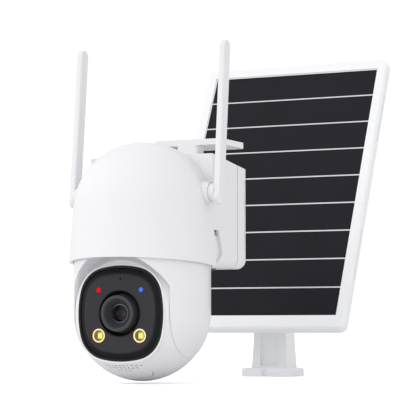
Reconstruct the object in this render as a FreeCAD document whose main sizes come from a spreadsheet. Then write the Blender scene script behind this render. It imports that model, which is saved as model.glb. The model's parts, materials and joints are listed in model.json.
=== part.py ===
"""Solar-powered pan-tilt security camera with its separate solar panel.

Frame: +Z up, X to the right and -Y to the front of the camera. Sizes are millimetres and degrees.
The pieces are drawn about the pan axis, with the underside of the panel stand at z = 0. At the end
all of them move together, so that the origin is the centre of the ceiling plate's top face.
"""
import FreeCAD
import Part

import math
import os
import re

import Sketcher

V = FreeCAD.Vector
doc = FreeCAD.newDocument("solar_security_camera")

# ---------------------------------------------------------------- driving dimensions
SIZES = {
    # housing of the camera unit
    "dome_rad": 51.5, "dome_mid": 126.6, "dome_flare": 3.8, "wall": 2.4,
    "rim_level": 87.1, "rim_slope": 4.5, "seam_back": 13.0,
    "box_half": 51.0, "box_floor": 85.5, "box_top": 169.5, "box_top_slope": 7.0,
    "box_split": 57.0, "box_back": 78.0, "seal_thick": 1.0, "box_corner": 7.0,
    "shelf_low": 109.0, "shelf_thick": 3.0,
    "port_x": 34.0, "port_y": 48.0, "socket_rad": 6.4, "button_rad": 3.4,
    # pan turntable
    "cup_rad": 50.8, "cup_wall": 2.0, "cup_top": 94.5, "cup_inner_rad": 48.3,
    "cup_plate_low": 104.5, "cup_plate_thick": 3.0, "recess_rad": 51.6, "arch_rad": 43.2,
    "arm_in": 39.0, "arm_plate": 2.2, "hub_rad": 9.5, "hub_bore": 5.5, "bearing_rad": 15.0,
    "tilt_level": 52.0, "trunnion_rad": 8.0,
    # tilting head
    "head_rad": 50.4, "head_half": 38.5, "head_wall": 2.2, "head_split": 8.0,
    "face_plane": 33.5, "face_half": 34.4, "face_level": 51.1, "face_proud": 2.4, "bevel": 5.0,
    "bezel_rad": 17.2, "barrel_rad": 13.1, "glass_rad": 6.4, "barrel_proud": 4.3,
    "status_x": 17.3, "status_rise": 17.0, "status_rad": 1.8,
    "spot_x": 16.7, "spot_drop": 16.0, "spot_rad": 5.1,
    "motor_rad": 12.0, "tilt_motor_rad": 10.0,
    # antennas
    "fold_back": 5.0, "fold_level": 140.0, "boss_rad": 7.9, "boss_face": 54.0,
    "knuckle_rad": 6.5, "blade_in": 57.9, "blade_thick": 4.8, "blade_deep": 10.5,
    "blade_reach": 114.0, "blade_lean": 5.5,
    # mounting bracket
    "neck_half": 9.0, "neck_front": 74.0, "neck_deep": 14.0, "plate_low": 183.0,
    "plate_thick": 4.6, "plate_half": 30.0, "plate_front": 74.0, "plate_deep": 44.0,
    "plate_hole_rad": 2.3, "plate_hole_x": 22.0, "plate_hole_y": 30.0,
    # battery
    "cell_rad": 9.15, "cell_long": 65.0,
    # solar panel and stand
    "panel_x": 1.0, "panel_foot_y": 189.8, "panel_foot_z": 51.0, "panel_lean": 25.3,
    "cells_wide": 156.0, "strip_pitch": 26.64, "strip_count": 9, "ribbon": 1.3,
    "margin_side": 8.0, "margin_top": 9.0, "margin_foot": 11.5, "frame_thick": 9.0,
    "frame_corner": 6.0,
    "base_wide": 46.5, "base_deep": 35.0, "base_thick": 6.9, "base_front": 222.0,
    "base_hole_rad": 2.2, "base_hole_x": 16.0, "base_hole_y": 11.5,
    "post_wide": 30.0, "post_deep": 20.0, "post_front": 233.0, "post_top": 88.0,
    "hinge_y": 243.0, "hinge_z": 112.0, "hinge_rad": 9.0, "bolt_rad": 3.0,
}

sheet = doc.addObject("Spreadsheet::Sheet", "Sheet")
for row, (alias, value) in enumerate(SIZES.items(), start=1):
    sheet.set("A%d" % row, alias)
    sheet.set("B%d" % row, str(value))
    sheet.setAlias("B%d" % row, alias)
doc.recompute()


def size(alias):
    """The value of one cell of the sheet."""
    return float(sheet.get(alias))


def bind(target, name, value):
    """Tie a property to an expression in which words are aliases of the sheet."""
    text = re.sub(r"\b[a-z]+(?:_[a-z]+)+\b|\bwall\b|\bbevel\b|\bribbon\b",
                  lambda word: "Sheet." + word.group(0), str(value))
    target.setExpression(name, text)


# ---------------------------------------------------------------- building blocks
TURNS = {"x": FreeCAD.Rotation(V(0, 1, 0), 90), "y": FreeCAD.Rotation(V(1, 0, 0), -90),
         "z": FreeCAD.Rotation()}


def primitive(kind, at, turn=None, **sizes):
    made = doc.addObject("Part::" + kind, kind)
    for name, value in sizes.items():
        bind(made, name, value)
    made.Placement = FreeCAD.Placement(V(), turn or FreeCAD.Rotation())
    for axis, value in zip("xyz", at):
        bind(made, "Placement.Base." + axis, value)
    return made


def box(x, y, z, long, deep, high, turn=None):
    return primitive("Box", (x, y, z), turn, Length=long, Width=deep, Height=high)


def rod(axis, x, y, z, radius, reach):
    return primitive("Cylinder", (x, y, z), TURNS[axis], Radius=radius, Height=reach)


def taper(axis, x, y, z, radius_one, radius_two, reach):
    return primitive("Cone", (x, y, z), TURNS[axis], Radius1=radius_one, Radius2=radius_two, Height=reach)


def ball(x, y, z, radius):
    return primitive("Sphere", (x, y, z), Radius=radius)


def join(*pieces):
    made = doc.addObject("Part::MultiFuse", "Join")
    made.Shapes = list(pieces)
    return made


def common(*pieces):
    made = doc.addObject("Part::MultiCommon", "Common")
    made.Shapes = list(pieces)
    return made


def cut(base, *tools):
    made = doc.addObject("Part::Cut", "Cut")
    made.Base = base
    made.Tool = tools[0] if len(tools) == 1 else join(*tools)
    return made


def group(*pieces):
    made = doc.addObject("Part::Compound", "Group")
    made.Links = list(pieces)
    return made


def shaped(shape, name="Shaped"):
    """A shape made by Part's functions, for outlines that no primitive has."""
    made = doc.addObject("Part::Feature", name)
    made.Shape = shape
    return made


def rounded(base, radius, pick, label="Rounded"):
    """Fillet the edges for which pick(edge) is true."""
    doc.recompute()
    made = doc.addObject("Part::Fillet", label)
    made.Base = base
    edges = [n for n, edge in enumerate(base.Shape.Edges, start=1) if pick(edge)]
    made.Edges = [(n, radius, radius) for n in edges]
    return made


def along(edge, axis):
    """True for a straight edge along one of the axes."""
    if not isinstance(edge.Curve, (Part.Line, Part.LineSegment)):
        return False
    direction = edge.tangentAt(edge.FirstParameter)
    return abs(abs(getattr(direction, axis)) - 1) < 1e-6


NODES = []


def node(label, made):
    made.Label = label
    NODES.append(made)
    return made


# ---------------------------------------------------------------- outlines made of arcs
def crowned_square(half, y, level=None):
    """A square with crowned sides and large corner arcs, in the plane of that y, about the lens axis.

    Side arcs have 2.08 and corner arcs 0.6575 of the half width as radius; they meet in tangents.
    """
    middle = size("face_level") if level is None else level
    mid, side, join_in, diagonal = half, half * 0.95, half * 0.4517, half * 0.7736
    edges = []
    for quarter in range(4):
        turn = math.radians(90 * quarter)

        def at(u, w):
            return V(u * math.cos(turn) - w * math.sin(turn), y,
                     middle + u * math.sin(turn) + w * math.cos(turn))
        edges.append(Part.Arc(at(side, -join_in), at(mid, 0), at(side, join_in)).toShape())
        edges.append(Part.Arc(at(side, join_in), at(diagonal, diagonal), at(join_in, side)).toShape())
    return Part.Wire(Part.__sortEdges__(edges))


def crowned_plate(half, front, back):
    """A flat plate of that outline from one y to another."""
    face = Part.Face(crowned_square(half, front))
    return face.extrude(V(0, back - front, 0))


def gear(teeth, module, thickness, bore, tooth=0.4, first=0.0):
    """A spur gear about Z with straight-sided teeth, its first tooth at the angle first."""
    pitch = teeth * module / 2
    tip = pitch + 0.75 * module
    root = pitch - 1.0 * module
    step = 360.0 / teeth
    points = []
    for number in range(teeth):
        centre = first + number * step
        for radius, share in ((root, -0.62), (tip, -0.30), (tip, 0.30), (root, 0.62)):
            angle = math.radians(centre + share * tooth * step)
            points.append(V(radius * math.cos(angle), radius * math.sin(angle), 0))
    blank = Part.Face(Part.makePolygon(points + points[:1])).extrude(V(0, 0, thickness))
    return blank.cut(Part.makeCylinder(bore, thickness + 2, V(0, 0, -1)))


def placed(shape, at, axis="z"):
    """A copy of a shape made about Z, turned to an axis and moved to a point."""
    moved = shape.copy()
    moved.Placement = FreeCAD.Placement(at, TURNS[axis])
    return moved


# ---------------------------------------------------------------- camera unit: housing
COVER_SCREWS = [(-43, 103.4), (43, 103.4), (-43, 152), (43, 152)]


def dome_solid(inset):
    """The domed front: a ball on a flared skirt, with straight sides behind the pan axis."""
    flare = math.radians(size("dome_flare"))
    radius = "(dome_rad - (%s))" % inset
    shoulder = "(%s * %.6f)" % (radius, math.cos(flare))
    shoulder_z = "(dome_mid + %s * %.6f)" % (radius, math.sin(flare))
    foot = 78.0
    foot_rad = "(%s + (%s - %s) * %.6f)" % (shoulder, shoulder_z, foot, math.tan(flare))
    skirt_high = "%s - %s" % (shoulder_z, foot)
    cap = common(ball(0, 0, "dome_mid", radius), box(-80, -80, shoulder_z, 160, 160, 80))
    skirt = taper("z", 0, 0, foot, foot_rad, shoulder, skirt_high)
    front = common(join(cap, skirt), box(-80, -80, 0, 160, 80, 200))
    vault = rod("y", 0, 0, "dome_mid", radius, "seam_back")
    arch = common(vault, box(-80, -5, shoulder_z, 160, 80, 80))
    cheeks = primitive("Wedge", (0, 0, 0), FreeCAD.Rotation(V(1, 0, 0), 90),
                       Xmin="-1 * %s" % foot_rad, Xmax=foot_rad, Zmin="-1 * seam_back", Zmax=0,
                       Ymin=foot, Ymax=shoulder_z, X2min="-1 * %s" % shoulder, X2max=shoulder,
                       Z2min="-1 * seam_back", Z2max=0)
    return join(front, arch, cheeks)


def below_rim_plane():
    """A block whose top face is the plane of the sloping rim."""
    block = Part.makeBox(200, 300, 80, V(-100, -150, -80))
    block.Placement = FreeCAD.Placement(V(0, 0, size("rim_level")),
                                        FreeCAD.Rotation(V(1, 0, 0), -size("rim_slope")))
    return shaped(block, "RimPlane")


def swept_space():
    """What the turntable sweeps: it stays clear of every fixed part."""
    low = rod("z", 0, 0, 60, "recess_rad", "cup_top + 1.2 - 60")
    high = rod("z", 0, 0, 60, "cup_inner_rad + 0.9", "shelf_low - 60")
    return join(low, high)


def boss(side, rad, start, end):
    """A round boss along X on one side of the housing."""
    low = start if side > 0 else "-1 * (%s)" % end
    return rod("x", low, "fold_back", "fold_level", rad, "(%s) - (%s)" % (end, start))


def front_housing():
    shell = cut(dome_solid("0"), below_rim_plane())
    bosses = [boss(side, "boss_rad", 40, "boss_face") for side in (1, -1)]
    hollow = dome_solid("wall")
    pins = [boss(side, "2.2", 36, "boss_face - 5") for side in (1, -1)]
    sockets = [boss(side, "1.25", 36, "boss_face + 1") for side in (1, -1)]
    rear_wall = common(dome_solid("0.5"), box(-80, "seam_back - wall", 163, 160, "wall", 30))
    body = cut(join(shell, *bosses), hollow, swept_space())
    body = cut(join(body, rear_wall, *[common(pin, dome_solid("0.5")) for pin in pins]), *sockets)
    return node("front_housing", body)


def box_solid(inset):
    """The squared rear of the housing, with a top that falls to the back and rounded rear corners."""
    d = float(inset)
    half, back, corner = size("box_half") - d, size("box_back") - d, max(size("box_corner") - d, 1.5)
    floor, start = size("box_floor") + d, size("seam_back") + d
    fall = math.tan(math.radians(size("box_top_slope")))
    front_top = size("box_top") - d
    back_top = front_top - (back - start) * fall
    side = Part.makePolygon([V(-half, start, floor), V(-half, back, floor), V(-half, back, back_top),
                             V(-half, start, front_top), V(-half, start, floor)])
    block = Part.Face(side).extrude(V(2 * half, 0, 0))
    uprights = [e for e in block.Edges if along(e, "z") and e.CenterOfMass.y > back - 1]
    block = block.makeFillet(corner, uprights)

    def lower_back(edge):
        return edge.CenterOfMass.z < floor + 0.5 and edge.CenterOfMass.y > back - 3
    return block.makeFillet(corner, [e for e in block.Edges if lower_back(e)])


def rear_block():
    """Outer solid of the rear housing and cover together."""
    return shaped(box_solid(0), "RearBlock")


def release_pocket():
    """The finger recess low on each side where the front and rear housings meet."""
    half = size("box_half")
    outline = [V(0, size("seam_back") - 1, 84), V(0, 21, 87), V(0, 31, 95), V(0, 29.5, 101),
               V(0, 24, 113), V(0, size("seam_back") - 1, 113)]
    face = Part.Face(Part.makePolygon(outline + outline[:1]))
    right = face.extrude(V(6, 0, 0))
    right.translate(V(half - 2.6, 0, 0))
    left = face.extrude(V(-6, 0, 0))
    left.translate(V(2.6 - half, 0, 0))
    return shaped(Part.makeCompound([right, left]), "ReleasePocket")


def rear_housing():
    front_part = common(rear_block(), box(-80, 0, 0, 160, "box_split", 220))
    hollow = common(shaped(box_solid(size("wall"))), box(-80, 0, "shelf_low", 160, 200, 120))
    arch = common(dome_solid("wall"), box(-80, -80, "shelf_low", 160, 200, 120))
    throat = cut(rod("y", 0, "seam_back - 1", "dome_mid", "dome_rad - wall - 0.5", 6),
                 box(-80, 0, 40, 160, 80, "shelf_low - 40"))
    wells = [rod("z", "-1 * port_x", "port_y", 80, "socket_rad + 0.1", 40),
             rod("z", "port_x", "port_y", 80, "button_rad + 0.15", 40)]
    shell = cut(front_part, hollow, arch, throat, swept_space(), release_pocket(), *wells)
    pillars = [rod("y", x, "box_split - 14", z, 3.6, 14) for x, z in COVER_SCREWS]
    pillars += [box(min(x, x * 1.14), "box_split - 14", z - 1.4, 6.1, 14, 2.8) for x, z in COVER_SCREWS]
    bores = [rod("y", x, "box_split - 12", z, 1.5, 30) for x, z in COVER_SCREWS]
    return node("rear_housing", cut(join(shell, *pillars), *bores))


def rear_cover():
    back_part = common(rear_block(), box(-80, "box_split + seal_thick", 0, 160, 60, 220))
    hollow = shaped(box_solid(size("wall")))
    grooves = [box(x, "box_back - 8.4", "box_floor + 14", 1.4, 1.0, 54) for x in (-51.4, 50.0)]
    pads = [rod("y", x, "box_back - 6", z, 4.4, 5) for x in (-22, 22) for z in (112, 142)]
    bores = [rod("y", x, "box_back - 8", z, 1.25, 12) for x in (-22, 22) for z in (112, 142)]
    bosses = [rod("y", x, "box_split + seal_thick + 1", z, 3.4, 18) for x, z in COVER_SCREWS]
    holes = [rod("y", x, 40, z, 1.6, 60) for x, z in COVER_SCREWS]
    heads = [rod("y", x, "box_back - 2.2", z, 3.1, 6) for x, z in COVER_SCREWS]
    body = join(cut(back_part, hollow), *pads, *[common(piece, rear_block()) for piece in bosses])
    return node("rear_cover", cut(body, *grooves, *bores, *holes, *heads))


def housing_seal():
    band = common(rear_block(), box(-80, "box_split", 0, 160, "seal_thick", 220))
    outer = common(shaped(box_solid(0.9)), band)
    return node("housing_seal", cut(outer, shaped(box_solid(size("wall"))),
                                    *[rod("y", x, 40, z, 1.6, 60) for x, z in COVER_SCREWS]))


def cover_screws():
    made = []
    for x, z in COVER_SCREWS:
        head = rod("y", x, "box_back - 2.2", z, 2.9, 1.7)
        shank = rod("y", x, "box_split - 8", z, 1.5, "box_back - box_split + 6.2")
        recess = [box(x - 1.6, "box_back - 1.6", z - 0.35, 3.2, 3, 0.7),
                  box(x - 0.35, "box_back - 1.6", z - 1.6, 0.7, 3, 3.2)]
        made.append(cut(join(head, shank), *recess))
    return node("cover_screws", group(*made))


def shelf():
    """The partition above the turntable, with the bearing seat and the pan motor's posts."""
    arch = common(dome_solid("wall + 0.25"), box(-80, -80, "shelf_low", 160, 94, "shelf_thick"))
    back = join(box("0.3 + wall - box_half", "seam_back + wall + 0.3", "shelf_low",
                    "2 * (box_half - wall - 0.3)", 38, "shelf_thick"),
                box(-44, 12, "shelf_low", 88, 5, "shelf_thick"))
    seat = rod("z", 0, 0, "shelf_low", "bearing_rad + 2.4", "shelf_thick + 1.4")
    posts = [rod("z", x, y, "shelf_low + 0.5", 2.6, 12.4) for x, y in motor_ears()]
    bore = rod("z", 0, 0, 90, "bearing_rad", 40)
    ports = [rod("z", x, "port_y", 100, 5, 30) for x in ("port_x", "-1 * port_x")]
    return node("partition_plate", cut(join(arch, back, seat, *posts), bore, *ports))


PAN_GEAR_TEETH, PAN_PINION_TEETH = 48, 12
TILT_GEAR_TEETH, TILT_PINION_TEETH = 30, 10
MESH_GAP = 0.35
PAN_MOTOR_AT = 215.0
TILT_MOTOR_AT = 50.0


def pan_motor_axis():
    reach = (PAN_GEAR_TEETH + PAN_PINION_TEETH) / 2 + MESH_GAP
    turn = math.radians(PAN_MOTOR_AT)
    return reach * math.cos(turn), reach * math.sin(turn)


def motor_ears():
    x, y = pan_motor_axis()
    turn = math.radians(PAN_MOTOR_AT + 90)
    return [(x + side * 15.5 * math.cos(turn), y + side * 15.5 * math.sin(turn)) for side in (1, -1)]


def pan_motor():
    x, y = pan_motor_axis()
    can = rod("z", x, y, 123.2, "motor_rad", 14)
    ears = [rod("z", a, b, 121.9, 3.9, 1.3) for a, b in motor_ears()]
    flange = join(rod("z", x, y, 121.9, "motor_rad", 1.5), *ears)
    shaft = rod("z", x, y, 112.8, 1.5, 10)
    return node("pan_motor", join(can, flange, shaft))


def pan_bearing():
    return node("pan_bearing", cut(rod("z", 0, 0, "shelf_low + 0.1", "bearing_rad", 4.2),
                                   rod("z", 0, 0, 90, "hub_rad + 0.05", 40)))


# ---------------------------------------------------------------- camera unit: inside the housing
def electronics():
    board = box(-40, 20, 120, 80, 1.6, 38)
    shields = [box(-30, 16.9, 124, 26, 3.1, 18), box(6, 17.6, 123, 20, 2.4, 14)]
    sockets = [box(x, 21.6, 146, 10, 4, 6) for x in (-30, -10, 14)]
    leads = [rod("y", x, 14.5, 150, 1.6, 5.5) for x in (-12, 20)]
    return node("main_board", join(board, *shields, *sockets, *leads))


CELL_ROWS = [(37.5, 124.5), (37.5, 143.5), (58.5, 124.5), (58.5, 143.5)]


def battery():
    cells = [cut(join(rod("x", "-1 * cell_long / 2", y, z, "cell_rad", "cell_long"),
                      rod("x", "cell_long / 2 - 0.5", y, z, 3, 2.2)),
                 rod("x", "-1 * cell_long / 2 - 1", y, z, 4, 1.4)) for y, z in CELL_ROWS]
    node("battery_cells", group(*cells))
    tray = box(-39.5, 26.5, 113.6, 79, 43.5, 17)
    pockets = [rod("x", "-1 * cell_long / 2 - 2.6", y, 124.5, "cell_rad + 0.2", "cell_long + 5.2")
               for y in (37.5, 58.5)]
    slots = [box(-35.1, y - 9.35, 124.5, 70.2, 18.7, 20) for y in (37.5, 58.5)]
    node("battery_holder", cut(tray, *pockets, *slots))


def slot_prism(wide, thick, low, high):
    """An upright prism with round ends for the socket, about its own axis."""
    middle = box("-1 * port_x - %s / 2 + %s / 2" % (wide, thick), "port_y - %s / 2" % thick, low,
                 "%s - %s" % (wide, thick), thick, high)
    ends = [rod("z", "-1 * port_x + %s * (%s - %s) / 2" % (side, wide, thick), "port_y", low, thick / 2, high)
            for side in (1, -1)]
    return join(middle, *ends)


def charging_side():
    """Charging socket and power button under the rear housing."""
    shell = rod("z", "-1 * port_x", "port_y", "box_floor + 1.6", "socket_rad", 12)
    mouth = slot_prism(9.2, 3.3, "box_floor + 1", 9.6)
    tongue = box("-1 * port_x - 3.3", "port_y - 0.35", "box_floor + 3", 6.6, 0.7, 8)
    node("charging_inlet", join(cut(shell, mouth), tongue))
    stem = rod("z", "port_x", "port_y", "box_floor - 1.2", "button_rad", 12)
    node("power_button", rounded(stem, 0.6, lambda e: e.CenterOfMass.z < size("box_floor") and e.Closed))


def port_cover():
    """The rubber flap over the charging socket, with its hinge barrel behind."""
    low = "box_floor - 2.1"
    lid = join(rod("z", "-1 * port_x", "port_y", low, "socket_rad + 1.2", 2.0),
               box("-1 * port_x - 3", "port_y", low, 6, 9.6, 2.0),
               rod("x", "-1 * port_x - 3", "port_y + 9.6", "box_floor - 1.1", 1.0, 6),
               rod("z", "-1 * port_x", "port_y", "box_floor - 0.4", "socket_rad - 0.5", 1.6))
    return node("port_cover", lid)


# ---------------------------------------------------------------- antennas
def antenna(side, label):
    """A folding blade with a rounded foot and top, its knuckle and its pivot pin."""
    back, level = "fold_back", "fold_level"
    inner = "blade_in" if side > 0 else "-1 * (blade_in + blade_thick)"
    half = size("blade_deep") / 2
    reach = size("blade_reach")
    outline = [Part.Arc(V(0, -half, 0), V(0, 0, -9.0), V(0, half, 0)).toShape(),
               Part.LineSegment(V(0, half, 0), V(0, half, reach - half)).toShape(),
               Part.Arc(V(0, half, reach - half), V(0, 0, reach), V(0, -half, reach - half)).toShape(),
               Part.LineSegment(V(0, -half, reach - half), V(0, -half, 0)).toShape()]
    blade = Part.Face(Part.Wire(outline)).extrude(V(size("blade_thick"), 0, 0))
    blade = blade.makeFillet(1.3, [e for e in blade.Edges if not along(e, "x")])
    start = size("blade_in") if side > 0 else -(size("blade_in") + size("blade_thick"))
    blade.translate(V(start, 0, 0))
    gap = 0.15
    low = size("boss_face") + gap if side > 0 else -size("blade_in") - 0.5
    reach = size("blade_in") - size("boss_face") - gap + 0.5
    knuckle = Part.makeCylinder(size("knuckle_rad"), reach, V(low, 0, 0), V(1, 0, 0))
    pin_low = 44.5 if side > 0 else -size("blade_in") - 0.5
    pin = Part.makeCylinder(1.2, size("blade_in") + 0.5 - 44.5, V(pin_low, 0, 0), V(1, 0, 0))
    whole = blade.fuse([knuckle, pin]).removeSplitter()
    made = shaped(whole, label)
    backward = FreeCAD.Rotation(V(1, 0, 0), -size("blade_lean"))
    made.Placement = FreeCAD.Placement(V(0, size(back), size(level)), backward)
    return node(label, made)


# ---------------------------------------------------------------- mounting bracket
def bracket():
    column = box("-1 * neck_half", "neck_front", 150, "2 * neck_half", "neck_deep", "plate_low - 150")
    column = rounded(column, 3.0, lambda e: along(e, "z"))
    foot = shaped(neck_foot(), "NeckFoot")
    screw_hole = rod("z", 0, "neck_front - 5.5", 150, 2.4, 60)
    clearance = common(rear_block(), box(-80, 0, 0, 160, 200, 400))
    neck = cut(join(column, foot), clearance, screw_hole)
    node("mounting_neck", neck)
    node("neck_screw", neck_screw())
    plate = box("-1 * plate_half", "plate_front", "plate_low", "2 * plate_half", "plate_deep", "plate_thick")
    plate = rounded(plate, 4.0, lambda e: along(e, "z"))
    hollow = box("2 - plate_half", "plate_front + 2", "plate_low - 1",
                 "2 * plate_half - 4", "plate_deep - 4", "plate_thick - 1")
    hollow = rounded(hollow, 2.5, lambda e: along(e, "z"))
    pad = box("-1 * neck_half - 2", "plate_front", "plate_low",
              "2 * neck_half + 4", "neck_deep + 3", "plate_thick")
    pad = rounded(pad, 3.0, lambda e: along(e, "z"))
    towers = [rod("z", x, y, "plate_low", 4.6, "plate_thick") for x, y in plate_holes()]
    holes = [rod("z", x, y, 170, "plate_hole_rad", 40) for x, y in plate_holes()]
    node("mounting_plate", cut(join(cut(plate, hollow), pad, *towers), *holes))


def plate_holes():
    """Four screw holes of the ceiling pattern, about the middle of the mounting plate."""
    middle = size("plate_front") + size("plate_deep") / 2
    across, deep = size("plate_hole_x"), size("plate_hole_y") / 2
    return [(sx * across, middle + sy * deep) for sx in (1, -1) for sy in (1, -1)]


def neck_foot():
    """The flared foot of the neck, sloping down to the front over the rear housing."""
    front, low = size("neck_front"), 150.0
    points = [V(0, front + 10, low), V(0, front - 22, low), V(0, front - 22, 167.0), V(0, front - 10, 171.0),
              V(0, front, 176.0), V(0, front + 10, 176.0)]
    block = Part.Face(Part.makePolygon(points + points[:1])).extrude(V(30, 0, 0))
    block.translate(V(-15, 0, 0))
    block = block.makeFillet(6.0, [e for e in block.Edges if along(e, "z") and e.CenterOfMass.y < front - 20])
    return block


def neck_screw():
    head = rod("z", 0, "neck_front - 5.5", 169.5, 2.3, 2.4)
    return join(head, rod("z", 0, "neck_front - 5.5", 164, 1.2, 6))


# ---------------------------------------------------------------- turntable
def arms_span(inset):
    """Slabs outside the head on both sides, from the inner faces of the arms outwards."""
    width = "60 - arm_in - %s" % inset
    return [box("arm_in + %s" % inset, -60, 0, width, 120, 120), box("-60", -60, 0, width, 120, 120)]


def pan_cup():
    barrel = rod("z", 0, 0, "tilt_level", "cup_rad", "cup_top - tilt_level")
    collar = rod("z", 0, 0, "cup_top - 1", "cup_inner_rad", "cup_plate_low + cup_plate_thick - cup_top + 1")
    outer = join(barrel, collar, ball(0, 0, "tilt_level", "cup_rad"))
    below = box("-1 * arm_in", -60, -10, "2 * arm_in", 120, "tilt_level + 26.3")
    middle = common(rod("z", 0, 0, 30, "cup_rad - cup_wall", "cup_plate_low - 30"),
                    box("-1 * arm_in", -60, 0, "2 * arm_in", 120, 200))
    arch = common(rod("y", 0, -60, "tilt_level", "arch_rad", 60),
                  box("-1 * arm_in", -60, 0, "2 * arm_in", 60, 120))
    shell = common(join(rod("z", 0, 0, "tilt_level", "cup_rad - cup_wall", "cup_top - tilt_level - 0.5"),
                        rod("z", 0, 0, "tilt_level", "cup_inner_rad - cup_wall",
                            "cup_plate_low - tilt_level"),
                        ball(0, 0, "tilt_level", "cup_rad - cup_wall")), join(*arms_span("arm_plate")))
    pivots = rod("x", -60, 0, "tilt_level", "trunnion_rad + 0.02", 120)
    body = cut(outer, below, middle, arch, shell, rod("z", 0, 0, 90, "hub_bore", 40))
    inner = common(pivots, box(-45, -20, 0, 90, 40, 120))
    return node("pan_cup", cut(body, inner))


def hub():
    flange = rod("z", 0, 0, "cup_plate_low + cup_plate_thick", 13, 1.3)
    tube = rod("z", 0, 0, "cup_plate_low + cup_plate_thick", "hub_rad", 14.5)
    node("pan_hub", cut(join(flange, tube), rod("z", 0, 0, 90, "hub_bore", 60)))
    ring = cut(rod("z", 0, 0, 118.7, 12.5, 1.6), rod("z", 0, 0, 90, "hub_rad", 60))
    node("retaining_ring", ring)


def gears():
    big = gear(PAN_GEAR_TEETH, 1.0, 4.2, size("hub_rad"), first=PAN_MOTOR_AT)
    node("pan_gear", shaped(placed(big, V(0, 0, 114.3))))
    x, y = pan_motor_axis()
    half_tooth = 180.0 / PAN_PINION_TEETH
    small = gear(PAN_PINION_TEETH, 1.0, 5.0, 1.55, first=PAN_MOTOR_AT + 180 + half_tooth)
    node("pan_pinion", shaped(placed(small, V(x, y, 113.9))))
    wheel = gear(TILT_GEAR_TEETH, 1.0, 3.5, size("trunnion_rad"), first=TILT_MOTOR_AT)
    node("tilt_gear", shaped(placed(wheel, V(29.0, 0, size("tilt_level")), "x")))
    a, b = tilt_motor_axis()
    half_tooth = 180.0 / TILT_PINION_TEETH
    tiny = gear(TILT_PINION_TEETH, 1.0, 4.3, 1.55, first=TILT_MOTOR_AT + 180 + half_tooth)
    node("tilt_pinion", shaped(placed(tiny, V(28.6, a, b), "x")))


def tilt_motor_axis():
    """Centre of the tilt motor's shaft as y and z; about X, an angle runs from -Z towards Y."""
    reach = (TILT_GEAR_TEETH + TILT_PINION_TEETH) / 2 + MESH_GAP
    angle = math.radians(TILT_MOTOR_AT)
    turn = TURNS["x"].multVec(V(math.cos(angle), math.sin(angle), 0))
    return reach * turn.y, size("tilt_level") + reach * turn.z


def trunnions():
    made = []
    for side in (1, -1):
        low = "27.6" if side > 0 else "-1 * (arm_in + arm_plate)"
        tube = rod("x", low, 0, "tilt_level", "trunnion_rad", "arm_in + arm_plate - 27.6")
        flange_low = "arm_in + arm_plate" if side > 0 else "-1 * (arm_in + arm_plate + 1.5)"
        flange = rod("x", flange_low, 0, "tilt_level", 10.5, 1.5)
        made.append(cut(join(tube, flange), rod("x", -60, 0, "tilt_level", 5, 120)))
    return node("tilt_trunnions", group(*made))


# ---------------------------------------------------------------- tilting head
def head_ball(inset):
    """The ball of the head, flattened at both sides and at the face, smaller by the inset."""
    sides = box("%s - head_half" % inset, -60, 0, "2 * (head_half - %s)" % inset, 120, 120)
    front = box(-60, "%s - face_plane" % inset, 0, 120, 120, 120)
    return common(ball(0, 0, "tilt_level", "head_rad - %s" % inset), sides, front)


def chin(shape_half, depth_from, depth_to):
    return shaped(crowned_plate(shape_half, -depth_from, -depth_to))


GRILLE_ROWS = ((-38.4, 10), (-40.1, 8), (-41.8, 4))


def speaker_holes():
    """Rows of small holes under the face, bored square to the ball."""
    drills = []
    for drop, count in GRILLE_ROWS:
        for number in range(count):
            x = (number - (count - 1) / 2) * 3.2
            radius = size("head_rad")
            y = -math.sqrt(radius ** 2 - x ** 2 - drop ** 2)
            outward = V(x, y, drop).normalize()
            start = V(x, y, drop + size("tilt_level")) - outward * 6
            drills.append(Part.makeCylinder(0.8, 12, start, outward))
    return shaped(Part.makeCompound(drills), "SpeakerHoles")


def card_opening(grow, back=-13.6):
    """The outline of the card cover under the chin, with pointed ends, as a prism along Z."""
    wide, front, nose = 13.0 + grow, -26.6 - grow, 18.5 + grow
    back = back + grow
    middle = (front + back) / 2 + 1.0
    edges = [Part.LineSegment(V(-wide, back, 0), V(wide, back, 0)).toShape(),
             Part.Arc(V(wide, back, 0), V(nose, middle, 0), V(wide, front, 0)).toShape(),
             Part.LineSegment(V(wide, front, 0), V(-wide, front, 0)).toShape(),
             Part.Arc(V(-wide, front, 0), V(-nose, middle, 0), V(-wide, back, 0)).toShape()]
    prism = Part.Face(Part.Wire(edges)).extrude(V(0, 0, 30))
    prism.translate(V(0, 0, -4))
    return prism


def head_shells():
    split = "head_split"
    front_half = box(-60, -60, 0, 120, "60 + %s" % split, 120)
    back_half = box(-60, "%s + 0.2" % split, 0, 120, 60, 120)
    bush_holes = rod("x", -60, 0, "tilt_level", "trunnion_rad + 2.2", 120)
    half, plane = size("face_half"), size("face_plane")
    lip = chin(half + 1.5, plane + 0.8, 29)
    window = chin(half - 1.3, 40, 28)
    seat = chin(half + 0.35, 40, plane)
    front = cut(join(cut(common(head_ball("0"), front_half), head_ball("head_wall")), lip), bush_holes,
                window, seat, speaker_holes(), shaped(card_opening(0.25, -12.75)))
    node("head_front_shell", front)
    back = cut(common(head_ball("0"), back_half), head_ball("head_wall"), bush_holes)
    node("head_rear_shell", back)
    bushes = [cut(rod("x", x, 0, "tilt_level", "trunnion_rad + 2.2", "head_wall"),
                  rod("x", -60, 0, "tilt_level", "trunnion_rad + 0.05", 120))
              for x in ("head_half - head_wall", "-1 * head_half")]
    node("tilt_bushes", group(*bushes))


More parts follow.
